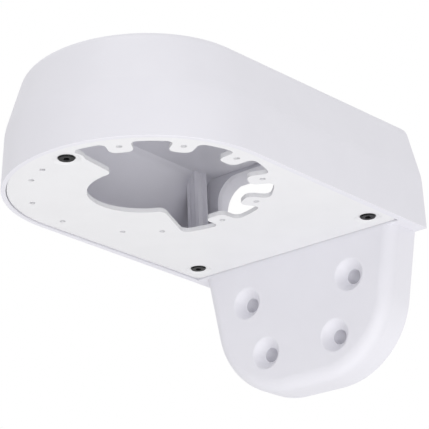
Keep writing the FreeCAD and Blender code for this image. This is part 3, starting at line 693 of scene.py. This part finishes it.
@dataclass
class Housing:
    """Die-cast housing: hood, partition, web, flange, bosses and ribs, in millimetres."""

    nose_centre: float = 158.5
    lean: float = 1.0
    rim: Spot = (77.2, 78.8)
    crease: Spot = (75.2, 78.0)
    crown: Spot = (64.6, 68.9)
    crease_height: float = 31.7
    crown_height: float = 68.2
    crown_slope: float = 0.65
    rim_rounding: float = 0.35
    crease_rounding: float = 32.0
    crown_rounding: float = 9.6
    wall: float = 4.2
    sliver: float = 0.01
    inner_bevel: float = 3.4
    inner_rounding: float = 7.5
    ceiling_rounding: float = 0.3
    lip_run: float = 3.0
    crown_run: float = 16.0
    depth: float = 23.0
    partition: float = 3.5
    slab_foot: float = -10.0
    arch_half: float = 56.5
    arch_sill: float = 7.0
    arch_height: float = 61.8
    arch_corner: float = 16.0
    throat_halves: tuple[float, float, float] = (72.0, 71.6, 63.4)
    throat_height: float = 64.6
    throat_rounding: float = 20.0
    throat_drop: float = 12.0
    throat_end: float = 12.0
    web: float = 5.0
    web_foot: float = -20.0
    web_end: float = 10.0
    plate_top: float = 3.4
    seat_half: float = 74.5
    flange_half: float = 71.5
    flange_drop: float = 82.08
    flange_taper: float = 11.15
    flange_corner: float = 51.0
    flange_rounding: float = 8.0
    front_run: float = 30.0
    hollow_rounding: float = 2.4
    rib_half: float = 1.5
    rib_sink: float = 0.5
    rib_back: float = 1.0
    rib_top: float = 2.0
    apart: float = 0.1
    cross_rib: tuple[Spot, Spot] = ((-30.0, -25.1), (30.0, -22.1))
    pad_radius: float = 12.0
    pad_height: float = 6.3
    stud_radius: float = 8.0
    boss_radius: float = 4.2
    boss_length: float = 82.0
    fin_top: float = 84.0
    boss_reach: float = 5.4
    boss_long_reach: float = 7.0
    boss_turns: tuple[float, ...] = (90.0, 45.0, 135.0)
    boss_fin: float = 3.0
    fin_root: float = 0.2
    fin_corner: float = 0.8
    counterbore: float = 19.4
    counterbore_depth: float = 5.8
    mouth_rounding: float = 2.2
    mouth_lift: float = 0.1
    counterbore_foot: float = 4.9
    hole_radius: float = 4.5
    pilot_radius: float = 2.5
    pilot_top: float = 17.4
    hole_places: tuple[Spot, ...] = ((-37.5, -23.6), (37.5, -23.6), (-25.0, -57.4), (25.0, -57.4))
    screw_places: tuple[Spot, ...] = ((0.0, -219.2), (-62.9, -36.8), (62.9, -36.8))

    def build(self, material: bpy.types.Material) -> bpy.types.Object:
        """Builds and finishes the housing.

        Args:
            material: Its powder coat.

        Returns:
            The finished piece.
        """
        web, floor = self.web / 2, self.depth - self.wall
        hollow = self._flange(self.wall, -web, floor, 4 * SPARE, self.hollow_rounding)
        behind = Form().block((-FAR, 0.0, -FAR), (FAR, FAR, FAR))
        piece = Workpiece("die_cast_housing", self._lofted(self._outer_section, 2 * SPARE))
        piece.join(Joining.ADD, self._flange(0.0, web, self.depth, 3 * SPARE, self.flange_rounding))
        piece.join(Joining.CUT, self._chambers(), self._seat(), hollow)
        piece.join(Joining.ADD, *self._stiffeners())
        piece.join(Joining.CUT, *self._bores(), behind)
        return piece.finish(material, ["bracket_housing"], edge=0.5)

    def _level_wire(self, form: Form, radius: float, rear: Point, lean: float,
                    cuts: int) -> list[bmesh.types.BMEdge]:
        """Level D-shaped wire: an arc round the nose and three straight runs.

        Args:
            form: Form that takes the wire.
            radius: Radius of the arc.
            rear: Rear corner on the right.
            lean: How far the arc runs on past a half circle at each end, in radians.
            cuts: Number of points set into each straight run.

        Returns:
            The wire's edges.
        """
        mesh, (half, back, level) = form.mesh, rear
        known = len(mesh.edges)
        start = mesh.verts.new((-radius * math.cos(lean), radius * math.sin(lean) - self.nose_centre, level))
        swept = bmesh.ops.spin(
            mesh, geom=[start], cent=(0.0, -self.nose_centre, level), axis=(0.0, 0.0, 1.0),
            angle=math.pi + 2 * lean, steps=NOSE_STEPS, use_merge=False)
        last = next(item for item in swept["geom_last"] if isinstance(item, bmesh.types.BMVert))
        right, left = mesh.verts.new(rear), mesh.verts.new((-half, back, level))
        straight = [mesh.edges.new(pair) for pair in ((last, right), (right, left), (left, start))]
        if cuts:
            bmesh.ops.subdivide_edges(mesh, edges=straight, cuts=cuts)
        mesh.edges.ensure_lookup_table()
        return list(mesh.edges)[known:]

    def _d_ring(self, form: Form, nose: Spot, side: Spot, past: float) -> list[bmesh.types.BMEdge]:
        """D-shaped wire round the hood.

        Args:
            form: Form that takes the wire.
            nose: Radius and height at the nose.
            side: Half width and height at the wall.
            past: How far the wire runs on behind the wall's face.

        Returns:
            The wire's edges.
        """
        lean = math.radians(self.lean)
        rear = (side[0] + past * math.tan(lean), past, 0.0)
        wire = self._level_wire(form, nose[0], rear, lean, cuts=7)
        slope = math.tan(math.radians(self.crown_slope))
        for corner in {corner for edge in wire for corner in edge.verts}:
            share = min(-corner.co.y / self.nose_centre, 1.0)
            height = side[1] + (nose[1] - side[1]) * share
            lift = max(height - self.crease_height, 0.0) / (self.crown_height - self.crease_height)
            corner.co.z = height + slope * corner.co.y * lift
        return wire

    def _lofted(self, section: Callable[[Point], list[Corner]], past: float) -> Form:
        """D-shaped form whose skin follows a half section.

        Args:
            section: Method that gives a half section, called for the nose and for the wall.
            past: How far it runs on behind the wall's face; its lowest and highest wire run less.

        Returns:
            The form.
        """
        form = Form()
        places = zip(self.rim, self.crease, self.crown)
        levels = list(zip(*(rounded(section(halves), steps=7) for halves in places)))
        ends = (0, len(levels) - 1)
        return form.skin([
            self._d_ring(form, nose, side, past - SPARE if number in ends else past)
            for number, (nose, side) in enumerate(levels)])

    def _outer_section(self, halves: Point) -> list[Corner]:
        """Half section of the hood's outer skin.

        Args:
            halves: Half widths at the lower edge, the crease and the upper face.

        Returns:
            Its corners, from the lower edge to the upper face.
        """
        rim, crease, crown = halves
        return [
            Corner(rim - self.lip_run, 0.0),
            Corner(rim, 0.0, self.rim_rounding),
            Corner(crease, self.crease_height, self.crease_rounding),
            Corner(crown, self.crown_height, self.crown_rounding),
            Corner(crown - self.crown_run, self.crown_height),
        ]

    def _inner_section(self, halves: Point) -> list[Corner]:
        """Half section of the hood's hollow, given by the outer skin.

        Args:
            halves: Outer half widths at the lower edge, the crease and the upper face.

        Returns:
            Its corners, from below the lower edge to the ceiling.
        """
        rim, crease, crown = (half - self.wall for half in halves)
        low, ceiling = -2 * SPARE, self.crown_height - self.wall
        slant = (halves[1] - halves[2]) / (self.crown_height - self.crease_height) * self.inner_bevel
        return [
            Corner(rim - self.sliver, low),
            Corner(rim, low),
            Corner(crease, self.crease_height, self.crease_rounding),
            Corner(crown + slant, ceiling - self.inner_bevel, self.inner_rounding),
            Corner(crown - self.inner_bevel, ceiling, self.ceiling_rounding),
            Corner(crown - self.crown_run, ceiling),
        ]

    def _chambers(self) -> Form:
        """Hollow of the hood: both chambers and the cable arch between them."""
        core = Workpiece("core", self._lofted(self._inner_section, 6 * SPARE))
        arch = [
            Corner(-self.arch_half, self.arch_sill),
            Corner(-self.arch_half, self.arch_height, self.arch_corner),
        ]
        foot, waist, crown = self.throat_halves
        throat = [
            Corner(-foot, -self.throat_drop),
            Corner(-waist, self.crease_height, self.throat_rounding),
            Corner(-crown, self.throat_height, self.arch_corner),
        ]
        front = -self.depth
        partition = self._pierced(rounded(mirrored(arch), steps=10), front, front + self.partition)
        sides = self._pierced(rounded(mirrored(throat), steps=12), front + SPARE, self.throat_end)
        web = Form().block((-FAR, front, self.web_foot), (FAR, self.web_end, self.web / 2))
        core.join(Joining.CUT, partition, sides, web, *self._screw_bosses())
        return core.release()

    def _pierced(self, opening: Sequence[Spot], front: float, back: float) -> Form:
        """Upright slab across the hood with an opening in it.

        Args:
            opening: Outline of the opening across the hood and up.
            front: Where the slab begins along the hood.
            back: Where it ends.

        Returns:
            The slab.
        """
        slab = Workpiece("slab", Form().block((-FAR, front, self.slab_foot), (FAR, back, FAR)))
        slab.join(Joining.CUT, Form().prism(opening, front - SPARE, back + SPARE, upright=False))
        return slab.release()

    def _seat(self) -> Form:
        """Rebate that the camera plate lies in."""
        form, half, levels = Form(), self.seat_half, (-3 * SPARE, self.plate_top)
        return form.skin([
            self._level_wire(form, half, (half, -self.depth, level), 0.0, cuts=0) for level in levels])

    def _flange(self, inset: float, top: float, depth: float, behind: float, rounding: float) -> Form:
        """Flange block, or its hollow, with a round front edge.

        Args:
            inset: How far inside the outer skin it lies.
            top: Height of its upper face.
            depth: Distance of its front from the wall.
            behind: How far it runs past the wall's face.
            rounding: Radius of its front edge.

        Returns:
            The form.
        """
        form = Form()
        lean = math.radians(self.flange_taper)
        profile = [Corner(0.0, behind), Corner(0.0, -depth, rounding), Corner(self.front_run, -depth)]
        profile = rounded(profile, steps=9)
        rings = []
        for shift, place in profile[:-1]:
            away = inset + shift
            half = self.flange_half - away / math.cos(lean)
            drop = self.flange_drop - away
            left = [
                Corner(-half + top * math.tan(lean), top),
                Corner(-half + drop * math.tan(lean), -drop, self.flange_corner - away),
            ]
            outline = rounded(mirrored(left), steps=28)
            rings.append(form.ring((x, place, z) for x, z in outline))
        return form.skin(rings)

    def _stiffeners(self) -> list[Form]:
        """Wall screw bosses and the two ribs in the back of the flange."""
        front, sink, back, apart = self.wall - self.depth, self.rib_sink, -self.rib_back, self.apart
        foot = self.wall - sink - self.flange_drop
        (left, low), (right, high) = self.cross_rib
        forms = [
            Form().block((-self.rib_half, front - sink, foot), (self.rib_half, back, -self.rib_top)),
            Form().block((left, front - (sink + apart), low), (right, back - apart, high)),
        ]
        start = sink - apart
        stud = 2 * SPARE + start - front
        for x, z in self.hole_places:
            forms.append(Form().rod((x, front - sink, z), self.pad_radius, self.pad_height, upright=False))
            forms.append(Form().rod((x, front - start, z), self.stud_radius, stud, upright=False))
        return forms

    def _screw_bosses(self) -> list[Form]:
        """Finned bosses from the seat up into the ceiling."""
        forms = []
        foot = self.plate_top - 2 * SPARE
        for (x, y), first in zip(self.screw_places, self.boss_turns):
            rod = Form().rod((x, y, foot), self.boss_radius, self.boss_length, sides=48)
            core = Workpiece("boss", rod)
            for quarter in range(4):
                reach = self.boss_reach if quarter else self.boss_long_reach
                outline = self._fin(x, y, reach, math.radians(first + 90.0 * quarter))
                core.join(Joining.ADD, Form().prism(outline, foot - SPARE / 2, self.fin_top))
            forms.append(core.release())
        return forms

    def _fin(self, x: float, y: float, reach: float, turn: float) -> list[Spot]:
        """Outline of one fin of a boss.

        Args:
            x: Place of the boss across the hood.
            y: Place of the boss along the hood.
            reach: How far the fin reaches from the middle of the boss.
            turn: Direction of the fin in radians.

        Returns:
            Its points.
        """
        root, half, tip = self.fin_root, self.boss_fin / 2, self.fin_corner
        corners = []
        for along, aside, rounding in (
                (root, -half, 0.0), (reach, -half, tip), (reach, half, tip), (root, half, 0.0)):
            place = Matrix.Rotation(turn, 2) @ Vector((along, aside))
            corners.append(Corner(x + place.x, y + place.y, rounding))
        return rounded(corners, steps=5, closed=True)

    def _bores(self) -> list[Form]:
        """Counterbores and holes for the wall screws, and blind holes for the plate screws."""
        radius, depth, lip = self.counterbore / 2, self.counterbore_depth, -self.mouth_lift
        wide, top = radius + 2 * SPARE, -2 * SPARE
        mouth = rounded([
            Corner(0.0, top), Corner(wide, top), Corner(wide, lip),
            Corner(radius, lip, self.mouth_rounding),
            Corner(self.counterbore_foot, depth), Corner(0.0, depth),
        ], steps=5)
        forms = []
        for x, z in self.hole_places:
            start, length = (x, SPARE - self.depth, z), self.depth + 3 * SPARE
            forms.append(Form().turned(mouth, (x, -self.depth, z), 96, upright=False))
            forms.append(Form().rod(start, self.hole_radius, length, upright=False))
        for x, y in self.screw_places:
            forms.append(Form().rod((x, y, 0.0), self.pilot_radius, self.pilot_top, sides=40))
        return forms


@dataclass
class CameraPlate:
    """Camera plate with its opening, lugs, tapped holes and screw recesses, in millimetres."""

    nose_centre: float = Housing.nose_centre
    axis: float = 156.7
    low: float = 0.9
    high: float = 3.4
    half: float = 74.0
    back: float = 23.5
    corner: float = 4.0
    outer: float = 69.4
    inner: float = 32.2
    start: float = -82.5
    end: float = 113.5
    arc_step: float = 2.0
    arc_margin: float = 0.6
    opening_corner: float = 4.5
    lug_angles: tuple[float, ...] = tuple(30.0 * count - 61.2 for count in range(6))
    plain_angles: tuple[float, ...] = (123.0, 143.5, 178.8, 208.8, 238.8, 253.0)
    lug_tip: float = 56.0
    lug_half: float = 6.8
    lug_tip_half: float = 6.3
    lug_corner: float = 4.4
    lug_root: float = 3.6
    lug_margin: float = 0.9
    hole_reach: float = 63.9
    hole_radius: float = 1.95
    lead_in: float = 0.1
    thread_pitch: float = 0.7
    thread_depth: float = 0.3
    recess_radius: float = 7.5
    recess_depth: float = 0.9
    recess_flank: float = 1.5
    recess_lip: float = 0.6
    recess_edge: float = 0.12
    seat_radius: float = 4.85
    seat_depth: float = 1.4
    ear_radius: float = 9.6
    clearance_radius: float = 2.75
    screw_places: tuple[Spot, ...] = Housing.screw_places

    def build(self, material: bpy.types.Material) -> bpy.types.Object:
        """Builds and finishes the plate.

        Args:
            material: Its powder coat.

        Returns:
            The finished piece.
        """
        piece = Workpiece("lower_camera_plate", Form().prism(self._outline(), self.low, self.high))
        piece.join(Joining.CUT, Form().prism(self._opening(), self.low - SPARE, self.high + SPARE))
        ear = circle(self.screw_places[0], self.ear_radius, 80)
        piece.join(Joining.ADD, Form().prism(ear, self.low, self.high))
        for x, y in self.screw_places:
            recess = Form().turned(self._recess(), (x, y, self.low), 96)
            hole = Form().rod((x, y, 0.0), self.clearance_radius, self.high + SPARE, sides=48)
            piece.join(Joining.CUT, recess, hole)
        piece.join(Joining.CUT, *map(self._tapped, self.lug_angles + self.plain_angles))
        return piece.finish(material, ["camera_plate"], edge=0.22)

    def _recess(self) -> list[Spot]:
        """Half section of a screw recess with a soft flank, and of the seat in its floor."""
        radius, depth = self.recess_radius, self.recess_depth
        lip, edge, foot = self.recess_lip, self.recess_edge, radius - self.recess_flank
        return [
            (0.0, -SPARE), (radius + lip, -SPARE), (radius + lip, 0.0), (radius, edge),
            (foot + lip, depth - edge), (foot, depth), (self.seat_radius, depth),
            (self.seat_radius, self.seat_depth), (0.0, self.seat_depth),
        ]

    def _outline(self) -> list[Spot]:
        """Outline with a round nose and rounded rear corners."""
        turns = (math.pi * (1 + step / 96) for step in range(97))
        corners = [
            Corner(self.half * math.cos(turn), self.half * math.sin(turn) - self.nose_centre)
            for turn in turns]
        corners += [Corner(side, -self.back, self.corner) for side in (self.half, -self.half)]
        return rounded(corners, closed=True)

    def _polar(self, radius: float, angle: float, rounding: float = 0.0, aside: float = 0.0) -> Corner:
        """Corner given about the camera axis.

        Args:
            radius: Distance from the axis along the direction.
            angle: Direction in degrees.
            rounding: Rounding of the corner.
            aside: Distance to the left of the direction.

        Returns:
            The corner.
        """
        turn = math.radians(angle)
        cos, sin = math.cos(turn), math.sin(turn)
        x, y = radius * cos - aside * sin, radius * sin + aside * cos
        return Corner(x, y - self.axis, rounding)

    def _arc(self, radius: float, start: float, end: float, margin: float) -> list[Corner]:
        """Arc about the camera axis that stays clear of the corners at its ends.

        Args:
            radius: Its radius.
            start: Angle in degrees at which it starts.
            end: Angle in degrees at which it ends.
            margin: Clear length at each end.

        Returns:
            Its points as plain corners.
        """
        clear = math.degrees(margin / radius)
        steps = max(int((end - start - 2 * clear) / self.arc_step), 1)
        turns = (start + clear + (end - start - 2 * clear) * step / steps for step in range(steps + 1))
        return [self._polar(radius, turn) for turn in turns]

    def _opening(self) -> list[Spot]:
        """Outline of the opening with the lugs that reach into it."""
        root = math.sqrt(self.outer ** 2 - self.lug_half ** 2)
        side = math.degrees(math.asin(self.lug_half / self.outer))
        corners = [self._polar(self.outer, self.start, self.opening_corner)]
        clear = self.opening_corner + self.arc_margin
        before, margin = self.start, clear
        for angle in self.lug_angles:
            corners += self._arc(self.outer, before, angle - side, margin)
            corners += [
                self._polar(root, angle, self.lug_root, -self.lug_half),
                self._polar(self.lug_tip, angle, self.lug_corner, -self.lug_tip_half),
                self._polar(self.lug_tip, angle, self.lug_corner, self.lug_tip_half),
                self._polar(root, angle, self.lug_root, self.lug_half),
            ]
            before, margin = angle + side, self.lug_root + self.lug_margin
        corners += self._arc(self.outer, before, self.end, clear)
        corners += [self._polar(radius, self.end, self.opening_corner) for radius in (self.outer, self.inner)]
        corners += self._arc(self.inner, self.end, self.start + 360.0, clear)
        corners.append(self._polar(self.inner, self.start, self.opening_corner))
        return rounded(corners, closed=True)

    def _tapped(self, angle: float) -> Form:
        """Tool that leaves a tapped hole, with a lead-in at its mouth.

        Args:
            angle: Direction of the hole about the camera axis in degrees.

        Returns:
            The tool.
        """
        place = self._polar(self.hole_reach, angle)
        radius, crest, thick = self.hole_radius, self.hole_radius - self.thread_depth, self.high - self.low
        profile = [(0.0, -SPARE), (radius + self.lead_in, -SPARE), (radius + self.lead_in, 0.0)]
        height = self.lead_in
        while height < thick - self.lead_in:
            profile += [(crest, height), (radius, height + self.thread_pitch / 2)]
            height += self.thread_pitch
        profile += [(crest, thick + SPARE), (0.0, thick + SPARE)]
        return Form().turned(profile, (place.x, place.y, self.low), 36)


@dataclass
class LowHeadScrew:
    """Low-head screw that hangs from the plate, with a hex socket and a thread, in millimetres."""

    name: str
    node: str
    x: float
    y: float
    seat: float = 2.3
    head: float = 4.6
    crown: float = 4.2
    height: float = 1.2
    lip: float = 0.6
    shank: float = 2.45
    neck: float = 0.8
    length: float = 12.0
    point: float = 0.6
    pitch: float = 0.8
    thread_depth: float = 0.42
    runout: float = 0.1
    socket: float = 3.0
    socket_depth: float = 1.5
    socket_tip: float = 0.7
    drill_step: float = 0.12
    drill_lead: float = 0.3
    countersink: float = 0.12
    cone_depth: float = 0.4
    dome_steps: int = 10

    def build(self, material: bpy.types.Material) -> bpy.types.Object:
        """Builds and finishes the screw.

        Args:
            material: Its black finish.

        Returns:
            The finished piece.
        """
        piece = Workpiece(self.name, Form().turned(self._profile(), (self.x, self.y, self.seat), 56))
        corner, drilled = self.socket / math.sqrt(3), self.socket / 2 - self.drill_step
        face = self.seat - self.height
        bottom = face + self.socket_depth
        hexagon = circle((self.x, self.y), corner, 6)
        wide, above, below = corner + self.countersink, SPARE / 2, self.cone_depth
        cone = [(0.0, -above), (wide + above, -above), (wide - below, below), (0.0, below)]
        drill = [(0.0, -self.drill_lead), (drilled, -self.drill_lead), (drilled, 0.0), (0.0, self.socket_tip)]
        piece.join(
            Joining.CUT, Form().prism(hexagon, face - SPARE, bottom),
            Form().turned(cone, (self.x, self.y, face), 48),
            Form().turned(drill, (self.x, self.y, bottom), 36))
        return piece.finish(material, [self.node], edge=0.09)

    def _profile(self) -> list[Spot]:
        """Half section: crown, dome, lip, seat, threaded shank and point."""
        centre = (self.head ** 2 - self.crown ** 2 + self.lip ** 2 - self.height ** 2)
        centre /= 2 * (self.height - self.lip)
        dome = math.hypot(self.head, centre + self.lip)
        first = math.atan2(-self.height - centre, self.crown)
        last = math.atan2(-self.lip - centre, self.head)
        points = [(0.0, -self.height)]
        for step in range(self.dome_steps + 1):
            turn = first + (last - first) * step / self.dome_steps
            points.append((dome * math.cos(turn), centre + dome * math.sin(turn)))
        points += [(self.head, 0.0), (self.shank, 0.0), (self.shank, self.neck)]
        root, height = self.shank - self.thread_depth, self.neck
        while height + self.pitch < self.length - self.point - self.runout:
            points += [(root, height + self.pitch / 2), (self.shank, height + self.pitch)]
            height += self.pitch
        points += [(self.shank, self.length - self.point), (self.shank - self.point, self.length)]
        points.append((0.0, self.length))
        return points


def main() -> None:
    """Builds the scene in order and reports each piece."""
    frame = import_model()
    bpy.context.scene.view_settings.view_transform = "Standard"
    Studio().build()
    LOG.info("studio stands")
    casting = PowderCoat(
        "casting_powder_coat", colour=(0.775, 0.77, 0.818), shade=(0.75, 0.745, 0.793)).make()
    plate = PowderCoat(
        "plate_powder_coat", colour=(0.81, 0.81, 0.825), shade=(0.78, 0.78, 0.795), roughness=0.42).make()
    black = BlackOxide("black_oxide").make()
    pieces = [Housing().build(casting), CameraPlate().build(plate)]
    for name, (x, y) in zip(("front", "rear_left", "rear_right"), Housing.screw_places):
        pieces.append(LowHeadScrew(f"low_head_screw_{name}", f"plate_screw_{name}", x, y).build(black))
    LOG.info("%d pieces stand for %d CAD nodes", len(pieces), len(frame["nodes"]))


if __name__ == "__main__":
    logging.basicConfig(level=logging.INFO, format="%(name)s: %(message)s")
    main()
